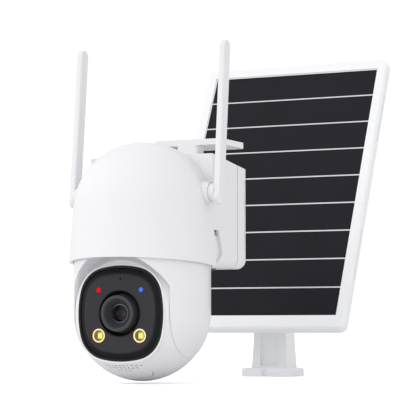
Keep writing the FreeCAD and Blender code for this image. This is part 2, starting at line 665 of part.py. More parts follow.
def face():
    half, plane = size("face_half"), size("face_plane")
    rim_front = plane + 1.0
    outer_edge = crowned_plate(half + 0.3, -rim_front, -plane)
    ring = outer_edge.cut(crowned_plate(half - 1.35, -rim_front - 1, -plane + 1))
    node("face_rim", shaped(ring))
    inner = half - 1.5
    slope = Part.makeLoft([crowned_square(inner, -plane - 0.4),
                           crowned_square(inner - size("bevel"), -plane - size("face_proud"))], True, True)
    panel = slope.fuse(crowned_plate(inner, -plane - 0.4, -plane + 2.0))
    level = size("face_level")
    holes = [Part.makeCylinder(size("bezel_rad"), 20, V(0, -plane - 8, level), V(0, 1, 0)),
             Part.makeCylinder(0.75, 20, V(0.6, -plane - 8, level + 25.1), V(0, 1, 0))]
    for side in (1, -1):
        status_at = V(side * size("status_x"), -plane - 8, level + size("status_rise"))
        spot_at = V(side * size("spot_x"), -plane - 8, level - size("spot_drop"))
        holes.append(Part.makeCylinder(size("status_rad"), 20, status_at, V(0, 1, 0)))
        holes.append(Part.makeCylinder(size("spot_rad"), 20, spot_at, V(0, 1, 0)))
    node("face_panel", shaped(panel.cut(holes).removeSplitter()))


def lens():
    flat = "face_plane + face_proud"
    level = "face_level"
    bowl = cut(rod("y", 0, "-1 * (%s)" % flat, level, "bezel_rad", 6.5),
               taper("y", 0, "-0.01 - (%s)" % flat, level, "bezel_rad - 0.7", "barrel_rad + 0.9", 4.2),
               rod("y", 0, -60, level, "barrel_rad", 60))
    node("lens_bezel", bowl)
    front = "-1 * (%s) - barrel_proud" % flat
    tube = rounded(rod("y", 0, front, level, "barrel_rad", 18.9), 0.7,
                   lambda e: e.CenterOfMass.y < -38 and e.Closed)
    mouth = taper("y", 0, "%s - 0.01" % front, level, "barrel_rad - 2.1", "glass_rad + 0.5", 5.0)
    steps = rod("y", 0, "%s - 1" % front, level, "glass_rad", 9.2)
    bore = rod("y", 0, -60, level, 4.2, 60)
    grip = [cut(rod("y", 0, "%s + %.1f" % (front, start), level, "barrel_rad + 1", 0.5),
                rod("y", 0, -60, level, "barrel_rad - 0.5", 60)) for start in (8.0, 9.6, 11.2)]
    node("lens_barrel", cut(tube, mouth, steps, bore, *grip))
    glass = common(ball(0, "%s + 14.4" % front, level, 9.2),
                   rod("y", 0, "%s + 4.6" % front, level, "glass_rad", 3.6))
    node("front_lens", glass)


def head_inside():
    level = size("face_level")
    plate = crowned_plate(28.0, -27.5, -26.0)
    plate = plate.cut([Part.makeCylinder(size("barrel_rad") + 0.6, 20, V(0, -34, level), V(0, 1, 0))])
    plate = plate.cut([Part.makeCylinder(3.2, 20, V(0.6, -34, level + 25.1), V(0, 1, 0))])
    node("light_board", shaped(plate))
    flat = "face_plane + face_proud"
    for side, colour in ((-1, "red"), (1, "blue")):
        x = side * size("status_x")
        pipe = rod("y", x, "-1 * (%s) - 0.1" % flat, "face_level + status_rise", "status_rad - 0.04",
                   "%s + 0.1 - 27.6" % flat)
        node("status_light_" + colour, rounded(pipe, 0.5, lambda e: e.CenterOfMass.y < -35 and e.Closed))
    cups, chips = [], []
    for side in (-1, 1):
        x = side * size("spot_x")
        wall = rod("y", x, "-1 * (%s) - 0.2" % flat, "face_level - spot_drop", "spot_rad - 0.04",
                   "%s + 0.2 - 27.6" % flat)
        hollow = taper("y", x, "-1 * (%s) - 0.3" % flat, "face_level - spot_drop",
                       "spot_rad - 1.1", 2.9, 2.6)
        cups.append(cut(wall, hollow))
        chips.append(box(x - 1.6, "-1 * (%s) + 1.35" % flat, "face_level - spot_drop - 1.6",
                         3.2, 0.95, 3.2))
    node("spotlight_cups", group(*cups))
    node("spotlight_chips", group(*chips))
    board = box(-15, -19.7, level - 15, 30, 1.5, 30)
    chip = box(-4, -20.9, level - 4, 8, 1.2, 8)
    holder = cut(rod("y", 0, -24, "face_level", "barrel_rad + 2", 4.3),
                 rod("y", 0, -60, "face_level", "barrel_rad + 0.02", 60))
    node("sensor_board", join(board, chip, holder))
    node("microphone", group(rod("y", 0.6, "-31.4", "face_level + 25.1", 3.0, 3.8)))
    cone = cut(rod("z", 0, -8, level - 33, 13.5, 7), taper("z", 0, -8, level - 33.1, 12, 4, 4))
    node("speaker", cone)
    a, b = tilt_motor_axis()
    can = rod("x", 9.5, a, b, "tilt_motor_rad", 16)
    face_plate = rod("x", 25.5, a, b, "tilt_motor_rad", 1.2)
    node("tilt_motor", join(can, face_plate, rod("x", 20, a, b, 1.5, 13)))


def chin_parts():
    skin = cut(ball(0, 0, "tilt_level", "head_rad"), ball(0, 0, "tilt_level", "head_rad - 1.8"))
    cover = common(shaped(card_opening(0)), skin)
    barrel = rod("x", -5, -14.1, 4.8, 0.9, 10)
    node("card_cover", join(cover, barrel))
    slot = cut(box(-9, -27, 15, 18, 14, 2.6), box(-6.2, -30, 15.7, 12.4, 15, 1.2))
    node("card_reader", group(slot, box(-5.8, -28.6, 15.85, 11.6, 14, 0.9)))
    node("reset_button", join(rod("z", 13.0, -20, 11.6, 1.2, 3.0), rod("z", 13.0, -20, 13.0, 2.2, 3.0)))


# ---------------------------------------------------------------- solar panel
def lean():
    return FreeCAD.Placement(V(size("panel_x"), size("panel_foot_y"), size("panel_foot_z")),
                             FreeCAD.Rotation(V(1, 0, 0), -size("panel_lean")))


def leaned(label, made_shape):
    """Register a shape made upright, its front in the plane y = 0, as a node that leans with the panel."""
    made = shaped(made_shape, label)
    made.Placement = lean()
    return node(label, made)


def rounded_slab(wide, low, high, front, thick, corner):
    slab = Part.makeBox(wide, thick, high - low, V(-wide / 2, front, low))
    return slab.makeFillet(corner, [e for e in slab.Edges if along(e, "y")])


def solar_panel():
    wide, tall = size("cells_wide"), size("strip_pitch") * size("strip_count")
    side, top, foot = size("margin_side"), size("margin_top"), size("margin_foot")
    thick, corner, line = size("frame_thick"), size("frame_corner"), size("ribbon")
    outer = rounded_slab(wide + 2 * side, -foot, tall + top, 0, thick, corner)
    rim = [e for e in outer.Edges if e.CenterOfMass.y < 0.01]
    outer = outer.makeChamfer(1.6, rim)
    window = Part.makeBox(wide + 0.1, thick, tall + 0.1, V(-wide / 2 - 0.05, -1, -0.05))
    well = Part.makeBox(wide + 8, thick, tall + 8, V(-wide / 2 - 4, 3.6, -4))
    notches = []
    for low in (36.0, 168.0):
        for x in (-wide / 2 - side - 1, wide / 2 + side - 0.7):
            notches.append(Part.makeBox(1.7, 3.2, 46, V(x, 3.4, low)))
    frame = outer.cut([window, well] + notches)
    leaned("panel_frame", frame)
    back = Part.makeBox(wide + 7.6, thick - 3.9, tall + 7.6, V(-wide / 2 - 3.8, 3.8, -3.8))
    ribs = [Part.makeBox(wide - 6, 2.8, 2, V(-wide / 2 + 3, thick - 2.9, z)) for z in (60, 120, 180)]
    pocket = Part.makeBox(wide - 8, 2.6, tall - 8, V(-wide / 2 + 4, thick - 2.5, 4))
    pad = Part.makeBox(60, 2.6, 74, V(-30, thick - 2.7, 41))
    pilots = [Part.makeCylinder(1.5, 2, V(x, thick - 1.5, z), V(0, 1, 0)) for x, z in bracket_holes()]
    leaned("panel_back", back.cut(pocket).fuse(ribs + [pad]).cut(pilots).removeSplitter())
    strips, ribbons = [], []
    for number in range(int(size("strip_count"))):
        low = number * size("strip_pitch") + (line / 2 if number else 0.1)
        high = (number + 1) * size("strip_pitch") - (line / 2 if number < size("strip_count") - 1 else 0.1)
        strips.append(Part.makeBox(wide - 0.2, 2.3, high - low, V(0.1 - wide / 2, 1.4, low)))
        if number:
            start = V(0.3 - wide / 2, 1.3, number * size("strip_pitch") - line / 2 + 0.05)
            ribbons.append(Part.makeBox(wide - 0.6, 2.3, line - 0.1, start))
    leaned("cell_strips", Part.makeCompound(strips))
    leaned("cell_ribbons", Part.makeCompound(ribbons))
    housing = Part.makeBox(44, 13, 36, V(32, thick - 0.1, 132))
    housing = housing.makeFillet(3, [e for e in housing.Edges if along(e, "y")])
    housing = housing.cut(Part.makeCylinder(3.0, 20, V(54, thick + 6.5, 125), V(0, 0, 1)))
    leaned("junction_box", housing)
    gland = Part.makeCylinder(2.98, 8, V(54, thick + 6.5, 126), V(0, 0, 1))
    nut = Part.makeCylinder(5.2, 5.5, V(54, thick + 6.5, 126.4), V(0, 0, 1))
    gland = gland.fuse([nut]).cut(Part.makeCylinder(1.9, 20, V(54, thick + 6.5, 120), V(0, 0, 1)))
    leaned("cable_gland", gland)


def hinge_in_panel():
    """The hinge axis in the upright panel's own axes, as y and z."""
    local = lean().inverse().multVec(V(size("panel_x"), size("hinge_y"), size("hinge_z")))
    return local.y, local.z


def bracket_holes():
    """Places of the bracket's four screws on the upright panel, as x and z."""
    return [(x, z) for x in (-17.5, 17.5) for z in (54, 102)]


def panel_bracket():
    thick = size("frame_thick")
    y, z = hinge_in_panel()
    foot_plate = Part.makeBox(44, 3, 60, V(-22, thick + 0.05, 48))
    foot_plate = foot_plate.makeFillet(5, [e for e in foot_plate.Edges if along(e, "y")])
    cheeks = []
    for x in (-14.5, 9.5):
        web = Part.makeBox(5, y - thick, 2 * size("hinge_rad"), V(x, thick + 0.05, z - size("hinge_rad")))
        eye = Part.makeCylinder(size("hinge_rad"), 5, V(x, y, z), V(1, 0, 0))
        cheeks += [web, eye]
    bore = Part.makeCylinder(size("bolt_rad") + 0.05, 60, V(-30, y, z), V(1, 0, 0))
    holes = [Part.makeCylinder(1.7, 8, V(x, thick - 1, h), V(0, 1, 0)) for x, h in bracket_holes()]
    leaned("panel_bracket", foot_plate.fuse(cheeks).cut([bore] + holes).removeSplitter())
    made = []
    for x, h in bracket_holes():
        head = Part.makeCylinder(3.0, 1.8, V(x, thick + 3.1, h), V(0, 1, 0))
        shank = Part.makeCylinder(1.5, 4.4, V(x, thick - 1.0, h), V(0, 1, 0))
        slot = Part.makeBox(4.4, 1, 0.7, V(x - 2.2, thick + 4.1, h - 0.35))
        made.append(head.fuse(shank).cut(slot))
    leaned("bracket_screws", Part.makeCompound(made))


# ---------------------------------------------------------------- stand
def find_plane(body, role):
    return next(f for f in body.Origin.OriginFeatures if f.Role == role)


def stand_base():
    """The foot plate: rounded corners, a half-round notch in front and back, and four screw holes."""
    body = doc.addObject("PartDesign::Body", "StandBase")
    sketch = body.newObject("Sketcher::SketchObject", "BaseOutline")
    sketch.AttachmentSupport = [(find_plane(body, "XY_Plane"), "")]
    sketch.MapMode = "FlatFace"
    corners = [(-1, -1), (1, -1), (1, 1), (-1, 1)]
    half_x, half_y = size("base_wide") / 2, size("base_deep") / 2
    for number, (sx, sy) in enumerate(corners):
        nx, ny = corners[(number + 1) % 4]
        sketch.addGeometry(Part.LineSegment(V(sx * half_x, sy * half_y, 0), V(nx * half_x, ny * half_y, 0)))
    for number in range(4):
        sketch.addConstraint(Sketcher.Constraint("Coincident", number, 2, (number + 1) % 4, 1))
    for number in (0, 2):
        sketch.addConstraint(Sketcher.Constraint("Horizontal", number))
        sketch.addConstraint(Sketcher.Constraint("Vertical", number + 1))
    wide = sketch.addConstraint(Sketcher.Constraint("DistanceX", 0, 1, 0, 2, 2 * half_x))
    deep = sketch.addConstraint(Sketcher.Constraint("DistanceY", 1, 1, 1, 2, 2 * half_y))
    sketch.addConstraint(Sketcher.Constraint("Symmetric", 0, 1, 1, 2, -1, 1))
    bind(sketch, "Constraints[%d]" % wide, "base_wide")
    bind(sketch, "Constraints[%d]" % deep, "base_deep")
    pad = body.newObject("PartDesign::Pad", "BasePad")
    pad.Profile = sketch
    bind(pad, "Length", "base_thick")
    doc.recompute()
    uprights = ["Edge%d" % n for n, e in enumerate(pad.Shape.Edges, start=1) if along(e, "z")]
    fillet = body.newObject("PartDesign::Fillet", "BaseCorners")
    fillet.Base = (pad, uprights)
    fillet.Radius = 5.0
    doc.recompute()
    top = ["Edge%d" % n for n, e in enumerate(fillet.Shape.Edges, start=1)
           if all(abs(v.Z - size("base_thick")) < 1e-6 for v in e.Vertexes)]
    chamfer = body.newObject("PartDesign::Chamfer", "BaseChamfer")
    chamfer.Base = (fillet, top)
    chamfer.Size = 1.2
    doc.recompute()
    holes = body.newObject("Sketcher::SketchObject", "BaseHoles")
    holes.AttachmentSupport = [(find_plane(body, "XY_Plane"), "")]
    holes.MapMode = "FlatFace"
    for sx in (-1, 1):
        for sy in (-1, 1):
            holes.addGeometry(Part.Circle(V(sx * size("base_hole_x"), sy * size("base_hole_y"), 0),
                                          V(0, 0, 1), size("base_hole_rad")))
    for sy in (-1, 1):
        holes.addGeometry(Part.Circle(V(0, sy * (half_y + 1.2), 0), V(0, 0, 1), 3.2))
    pocket = body.newObject("PartDesign::Pocket", "BasePocket")
    pocket.Profile = holes
    pocket.Type = "ThroughAll"
    pocket.Midplane = True
    doc.recompute()
    body.Placement = FreeCAD.Placement(V(size("panel_x"), size("base_front") + half_y, 0), FreeCAD.Rotation())
    return node("stand_base", body)


def stand_post():
    x, front = size("panel_x"), size("post_front")
    wide, deep, low, top = size("post_wide"), size("post_deep"), size("base_thick"), size("post_top")

    def ring(z, grow):
        w, d = wide / 2 + grow, deep / 2 + grow
        middle = front + deep / 2
        corners = ((-1, -1), (1, -1), (1, 1), (-1, 1))
        square = [V(x + a * w, middle + b * d, z) for a, b in corners]
        return Part.makePolygon(square + square[:1])
    flared = Part.makeLoft([ring(low, 1.2), ring(low + 22, 0.0)], True, True)
    straight = Part.makeLoft([ring(low + 22, 0.0), ring(top, -1.0)], True, True)
    channel = Part.makeBox(17, 4, top - low - 10, V(x - 8.5, front - 2.2, low + 2))
    inner_edges = [e for e in channel.Edges if along(e, "z") and e.CenterOfMass.y > front]
    channel = channel.makeFillet(1.5, inner_edges)
    core = Part.makeBox(wide - 9, deep - 8, top - low - 8, V(x - wide / 2 + 4.5, front + 4, low - 1))
    body = flared.fuse(straight).cut([channel, core]).removeSplitter()
    spigot = Part.makeCylinder(4.95, 8.0, V(x, size("hinge_y"), top - 0.1))
    body = body.fuse(spigot).cut(Part.makeCylinder(1.5, 20, V(x, size("hinge_y"), top - 8)))
    return node("stand_post", shaped(body))


def swivel_head():
    """The block that turns on the post and carries the hinge."""
    x, y, low = "panel_x", "hinge_y", "post_top + 0.3"
    disc = rod("z", x, y, low, 10.5, 6)
    lug = box("panel_x - 9.4", "hinge_y - 7", "post_top + 5", 18.8, 14, "hinge_z - post_top - 5")
    eye = rod("x", "panel_x - 9.4", y, "hinge_z", "hinge_rad - 1", 18.8)
    socket = rod("z", x, y, "post_top - 1", 5.0, 9.1)
    bore = rod("x", "panel_x - 20", y, "hinge_z", "bolt_rad + 0.02", 40)
    return node("swivel_head", cut(join(disc, lug, eye), socket, bore))


def hinge_hardware():
    x, y, z = size("panel_x"), size("hinge_y"), size("hinge_z")
    sixths = [math.radians(60 * n) for n in range(7)]
    hexagon = Part.makePolygon([V(0, 5.2 * math.cos(turn), 5.2 * math.sin(turn)) for turn in sixths])
    head = Part.Face(hexagon).extrude(V(3.6, 0, 0))
    head.translate(V(x - 14.6 - 3.6, y, z))
    shank = Part.makeCylinder(size("bolt_rad"), 41, V(x - 14.7, y, z), V(1, 0, 0))
    node("hinge_bolt", shaped(head.fuse(shank).removeSplitter()))
    lobes = [Part.makeCylinder(7.6, 9, V(x + 15.2, y, z), V(1, 0, 0))]
    for turn in sixths[:6]:
        start = V(x + 15.2, y + 7.0 * math.cos(turn), z + 7.0 * math.sin(turn))
        lobes.append(Part.makeCylinder(2.3, 9, start, V(1, 0, 0)))
    knob = lobes[0].fuse(lobes[1:]).fuse(Part.makeCylinder(6.0, 0.7, V(x + 14.6, y, z), V(1, 0, 0)))
    knob = knob.cut(Part.makeCylinder(size("bolt_rad") + 0.05, 40, V(x, y, z), V(1, 0, 0))).removeSplitter()
    node("hinge_knob", shaped(knob))


# ---------------------------------------------------------------- build and write
front_housing()
rear_housing()
rear_cover()
housing_seal()
cover_screws()
shelf()
pan_bearing()
pan_motor()
electronics()
battery()
charging_side()
port_cover()
antenna(1, "antenna_right")
antenna(-1, "antenna_left")
bracket()
pan_cup()
hub()
gears()
trunnions()
head_shells()
face()
lens()
head_inside()
chin_parts()
solar_panel()
panel_bracket()
stand_base()
stand_post()
swivel_head()
hinge_hardware()
doc.recompute()

# ---------------------------------------------------------------- row origin
ceiling = V(0, size("plate_front") + size("plate_deep") / 2, size("plate_low") + size("plate_thick"))
for made in NODES:
    if made.ExpressionEngine and any("Placement" in path for path, rule in made.ExpressionEngine):
        raise RuntimeError(made.Label + " can't move")
    made.Placement = FreeCAD.Placement(made.Placement.Base - ceiling, made.Placement.Rotation)
doc.recompute()

for made in doc.Objects:
    if "Invalid" in made.State or "Error" in made.State:
        raise RuntimeError("%s (%s) failed: %s" % (made.Name, made.Label, made.State))
os.makedirs("parts", exist_ok=True)
for made in NODES:
    if made.Shape.isNull() or not made.Shape.isValid():
        raise RuntimeError(made.Label + " has no valid shape")
    print("%-20s solids %d volume %.1f" % (made.Label, len(made.Shape.Solids), made.Shape.Volume))
for made in NODES:
    made.Shape.exportStep("parts/" + made.Label + ".step")
print(len(NODES), "nodes written")
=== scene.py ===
"""Looks of the solar-powered pan-tilt security camera: materials, small detail pieces, light and camera."""
import bpy, bmesh, json, math
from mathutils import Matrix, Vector


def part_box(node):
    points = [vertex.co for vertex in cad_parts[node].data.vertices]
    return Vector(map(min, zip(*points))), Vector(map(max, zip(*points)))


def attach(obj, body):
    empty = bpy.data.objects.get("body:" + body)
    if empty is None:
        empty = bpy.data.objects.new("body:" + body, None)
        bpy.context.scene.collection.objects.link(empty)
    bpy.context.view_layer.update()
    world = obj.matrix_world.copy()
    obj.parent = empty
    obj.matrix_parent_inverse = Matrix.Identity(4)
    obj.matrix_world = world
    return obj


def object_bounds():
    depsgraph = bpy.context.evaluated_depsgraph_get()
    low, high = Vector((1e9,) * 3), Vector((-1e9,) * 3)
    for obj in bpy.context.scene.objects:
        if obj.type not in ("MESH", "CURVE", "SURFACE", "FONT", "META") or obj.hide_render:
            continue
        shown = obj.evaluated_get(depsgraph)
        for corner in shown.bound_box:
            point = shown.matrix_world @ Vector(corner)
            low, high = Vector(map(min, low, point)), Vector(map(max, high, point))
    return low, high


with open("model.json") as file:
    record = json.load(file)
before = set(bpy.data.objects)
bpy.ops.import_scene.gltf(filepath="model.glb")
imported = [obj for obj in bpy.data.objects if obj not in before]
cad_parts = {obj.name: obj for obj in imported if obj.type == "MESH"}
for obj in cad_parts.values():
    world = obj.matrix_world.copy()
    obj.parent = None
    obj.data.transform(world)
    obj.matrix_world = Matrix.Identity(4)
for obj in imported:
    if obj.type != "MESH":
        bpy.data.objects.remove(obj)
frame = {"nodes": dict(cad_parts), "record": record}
CAD_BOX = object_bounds()
NODES = frame["nodes"]
scene = bpy.context.scene
MM = 0.001
PANEL_LEAN = math.radians(25.3)
LAMINATE_THICK = 2.3 * MM
CELL_FINGER_PITCH = 1.6 * MM
ARM_FACE = 39.05 * MM


# ---------------------------------------------------------------- node-tree helpers
class Tree:
    """A material's node tree with short calls for the nodes used here."""

    def __init__(self, name):
        self.material = bpy.data.materials.new(name)
        self.material.use_nodes = True
        self.nodes = self.material.node_tree.nodes
        self.links = self.material.node_tree.links
        self.shader = self.nodes["Principled BSDF"]

    @classmethod
    def of(cls, name):
        """The tree of a material that exists already."""
        tree = cls.__new__(cls)
        tree.material = bpy.data.materials[name]
        tree.nodes = tree.material.node_tree.nodes
        tree.links = tree.material.node_tree.links
        tree.shader = tree.nodes["Principled BSDF"]
        return tree

    def add(self, kind, **values):
        made = self.nodes.new("ShaderNode" + kind)
        for name, value in values.items():
            setattr(made, name, value)
        return made

    def join(self, one, two):
        self.links.new(one, two)

    def place(self):
        return self.add("TexCoord").outputs["Object"]

    def noise(self, scale, detail=4.0, rough=0.55, source=None):
        made = self.add("TexNoise")
        made.inputs["Scale"].default_value = scale
        made.inputs["Detail"].default_value = detail
        made.inputs["Roughness"].default_value = rough
        self.join(source or self.place(), made.inputs["Vector"])
        return made.outputs["Fac"]

    def spread(self, source, low, high, start=0.3, end=0.7):
        made = self.add("MapRange")
        for name, value in (("From Min", start), ("From Max", end), ("To Min", low), ("To Max", high)):
            made.inputs[name].default_value = value
        self.join(source, made.inputs["Value"])
        return made.outputs["Result"]

    def math(self, kind, one, two=0.5):
        made = self.add("Math", operation=kind)
        for socket, value in zip(made.inputs, (one, two)):
            if isinstance(value, (int, float)):
                socket.default_value = value
            else:
                self.join(value, socket)
        return made.outputs["Value"]

    def mix(self, factor, one, two):
        made = self.add("Mix", data_type="RGBA")
        for name, value in (("Factor", factor), ("A", one), ("B", two)):
            socket = [s for s in made.inputs if s.name == name and s.enabled][0]
            if isinstance(value, (int, float)):
                socket.default_value = value
            elif isinstance(value, tuple):
                socket.default_value = (*value, 1)
            else:
                self.join(value, socket)
        return [s for s in made.outputs if s.enabled][0]

    def bump(self, height, depth, strength=1.0, under=None):
        made = self.add("Bump")
        made.inputs["Strength"].default_value = strength
        made.inputs["Distance"].default_value = depth
        self.join(height, made.inputs["Height"])
        if under is not None:
            self.join(under, made.inputs["Normal"])
        return made.outputs["Normal"]

    def set(self, **values):
        for name, value in values.items():
            socket = self.shader.inputs[name.replace("_", " ")]
            if isinstance(value, (int, float)):
                socket.default_value = value
            elif isinstance(value, tuple):
                socket.default_value = (*value, 1) if len(value) == 3 else value
            else:
                self.join(value, socket)
        return self.material


def moulded(name, tone, rough, grain=0.35, depth=0.012, coat=0.0, warm=0.012, shine=0.5):
    """Injection-moulded plastic: faint cloudy tone, uneven sheen and a fine spark-eroded grain."""
    t = Tree(name)
    cloud = t.spread(t.noise(9.0, 3.0), 0.0, 1.0)
    dull = tuple(max(0.0, c - warm) for c in tone)
    colour = t.mix(cloud, tone, dull)
    uneven = t.spread(t.noise(38.0, 5.0), rough - 0.03, rough + 0.05)
    fine = t.noise(1000.0 / grain, 2.0, 0.6)
    swirl = t.noise(160.0, 3.0)
    normal = t.bump(swirl, 0.02 * MM, 0.5)
    normal = t.bump(fine, depth * MM, 0.8, normal)
    return t.set(Base_Color=colour, Roughness=uneven, Normal=normal, IOR=1.48, Coat_Weight=coat,
                 Coat_Roughness=0.12, Specular_IOR_Level=shine)


def metal(name, tone, rough, along="X", brush=0.1, worn=0.08):
    """Brushed or turned metal: streaks along one axis, with small bright and dull patches."""
    t = Tree(name)
    stretch = t.add("Mapping")
    t.join(t.place(), stretch.inputs["Vector"])
    scale = {"X": (40, 2200, 2200), "Y": (2200, 40, 2200), "Z": (2200, 2200, 40)}[along]
    stretch.inputs["Scale"].default_value = scale
    streaks = t.noise(1.0, 3.0, 0.6, stretch.outputs["Vector"])
    patches = t.noise(220.0, 4.0)
    colour = t.mix(t.spread(patches, 0.0, 1.0), tone, tuple(c * (1 - worn) for c in tone))
    level = t.math("ADD", t.spread(streaks, rough - brush, rough + brush), t.spread(patches, -0.04, 0.06))
    return t.set(Base_Color=colour, Roughness=level, Metallic=1.0, Normal=t.bump(streaks, 0.01 * MM, 0.5))


def rubber(name, tone):
    t = Tree(name)
    colour = t.mix(t.spread(t.noise(60.0), 0, 1), tone, tuple(c * 0.88 for c in tone))
    dust = t.spread(t.noise(25.0, 6.0), 0.62, 0.78)
    return t.set(Base_Color=colour, Roughness=dust, Normal=t.bump(t.noise(2600.0, 2.0), 0.03 * MM, 0.8),
                 IOR=1.5, Sheen_Weight=0.12, Sheen_Roughness=0.6)


def lamp(name, tone, glow, rough=0.25):
    """A small coloured lens or rim that is faintly lit from behind."""
    t = Tree(name)
    spots = t.spread(t.noise(900.0, 3.0), 0.0, 1.0)
    colour = t.mix(spots, tone, tuple(c * 0.9 for c in tone))
    uneven = t.spread(t.noise(400.0), rough, rough + 0.1)
    return t.set(Base_Color=colour, Roughness=uneven, Emission_Color=tone, Emission_Strength=glow,
                 Specular_IOR_Level=0.05)


def solder_mask(name, tone):
    """A circuit board: green mask over faint tracks, with tinned pads."""
    t = Tree(name)
    grid = t.add("TexBrick", offset=0.5)
    grid.inputs["Scale"].default_value = 260.0
    grid.inputs["Mortar Size"].default_value = 0.03
    grid.inputs["Color1"].default_value = (*tone, 1)
    grid.inputs["Color2"].default_value = (*(c * 0.8 for c in tone), 1)
    grid.inputs["Mortar"].default_value = (*(min(1.0, c * 1.7) for c in tone), 1)
    facing = t.add("Mapping")
    facing.inputs["Rotation"].default_value = (math.radians(90), 0, 0)
    t.join(t.place(), facing.inputs["Vector"])
    t.join(facing.outputs["Vector"], grid.inputs["Vector"])
    pads = t.spread(t.noise(700.0, 0.0), 0.0, 1.0, 0.66, 0.68)
    colour = t.mix(pads, grid.outputs["Color"], (0.62, 0.60, 0.52))
    return t.set(Base_Color=colour, Roughness=t.spread(t.noise(150.0), 0.25, 0.4),
                 Normal=t.bump(grid.outputs["Fac"], 0.03 * MM, 0.6), Coat_Weight=0.3, Coat_Roughness=0.2)


def solar_cells(name):
    """Dark blue-violet silicon under clear laminate, with hair-thin silver fingers across each strip."""
    t = Tree(name)
    upright = t.add("Mapping")
    upright.inputs["Rotation"].default_value = (-PANEL_LEAN, 0, 0)
    t.join(t.place(), upright.inputs["Vector"])
    split = t.add("SeparateXYZ")
    t.join(upright.outputs["Vector"], split.inputs["Vector"])
    across = split.outputs["X"]
    pitch = t.math("FRACT", t.math("MULTIPLY", across, 1 / CELL_FINGER_PITCH), 0)
    finger = t.math("LESS_THAN", t.math("ABSOLUTE", t.math("SUBTRACT", pitch, 0.5), 0), 0.03)
    crystal = t.spread(t.noise(34.0, 6.0, 0.6, upright.outputs["Vector"]), 0.0, 1.0)
    sparkle = t.spread(t.noise(1800.0, 2.0), 0.0, 1.0)
    base = t.mix(crystal, (0.0070, 0.0066, 0.0105), (0.0095, 0.0090, 0.0140))
    base = t.mix(t.math("MULTIPLY", sparkle, 0.25), base, (0.016, 0.015, 0.024))
    base = t.mix(t.math("MULTIPLY", finger, 0.10), base, (0.20, 0.20, 0.24))
    return t.set(Base_Color=base, Roughness=t.spread(t.noise(70.0, 5.0), 0.34, 0.44), IOR=1.45,
                 Normal=t.bump(t.noise(900.0, 2.0), 0.02 * MM, 0.6), Specular_IOR_Level=0.12,
                 Coat_Weight=0.04, Coat_Roughness=0.15)


def face_plate(name):
    """The dark face: satin grey on its flat front, running to black over the bevel round it."""
    t = Tree(name)
    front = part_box("face_panel")[0].y
    split = t.add("SeparateXYZ")
    t.join(t.place(), split.inputs["Vector"])
    slope = t.spread(split.outputs["Y"], 0.0, 1.0, front + 0.05 * MM, front + 0.75 * MM)
    cloud = t.spread(t.noise(30.0), 0.0, 1.0)
    flat = t.mix(cloud, (0.0350, 0.0340, 0.0395), (0.0315, 0.0305, 0.0360))
    colour = t.mix(slope, flat, (0.0050, 0.0050, 0.0060))
    return t.set(Base_Color=colour, Roughness=t.spread(t.noise(60.0, 5.0), 0.46, 0.56), IOR=1.46,
                 Normal=t.bump(t.noise(2600.0, 2.0), 0.006 * MM, 0.7), Specular_IOR_Level=0.2)


def head_bay(name, tone):
    """The turntable's cup: as the housing outside, with painted bounce light, a faint pale glow where it
    faces the head.
    """
    moulded(name, tone, 0.34, coat=0.1)
    t = Tree.of(name)
    split = t.add("SeparateXYZ")
    t.join(t.place(), split.inputs["Vector"])
    arms = t.spread(t.math("ABSOLUTE", split.outputs["X"], 0), 1.0, 0.0, ARM_FACE, ARM_FACE + 0.2 * MM)
    across = t.math("MULTIPLY", split.outputs["X"], split.outputs["X"])
    back = t.math("ADD", split.outputs["Y"], -PAN_AXIS_Y)
    radius = t.math("SQRT", t.math("ADD", across, t.math("MULTIPLY", back, back)), 0)
    inside = t.spread(radius, 1.0, 0.0, BAY_RADIUS - 0.9 * MM, BAY_RADIUS - 0.6 * MM)
    # painted bounce light: pale emission inside the bay between the arms, standing in for light bounced into
    # the recess round the head
    glow = t.math("MULTIPLY", t.math("MULTIPLY", arms, inside), 0.17)
    return t.set(Emission_Color=(0.96, 0.96, 1.0), Emission_Strength=glow)


def coated_glass(name, tone, seen=0.35, rough=0.02):
    """Dark optical glass with a faint coloured coating that shifts over its surface."""
    t = Tree(name)
    bands = t.spread(t.noise(70.0, 1.0), 0.0, 1.0)
    colour = t.mix(bands, tone, tuple(c * 0.5 for c in tone))
    smear = t.spread(t.noise(500.0, 6.0), rough, rough + 0.03)
    made = t.set(Base_Color=colour, Roughness=smear, IOR=1.7, Alpha=seen, Specular_IOR_Level=0.3,
                 Coat_Weight=0.25, Coat_Roughness=0.01, Coat_Tint=(0.75, 0.85, 1.0))
    made.blend_method = "BLEND"
    return made


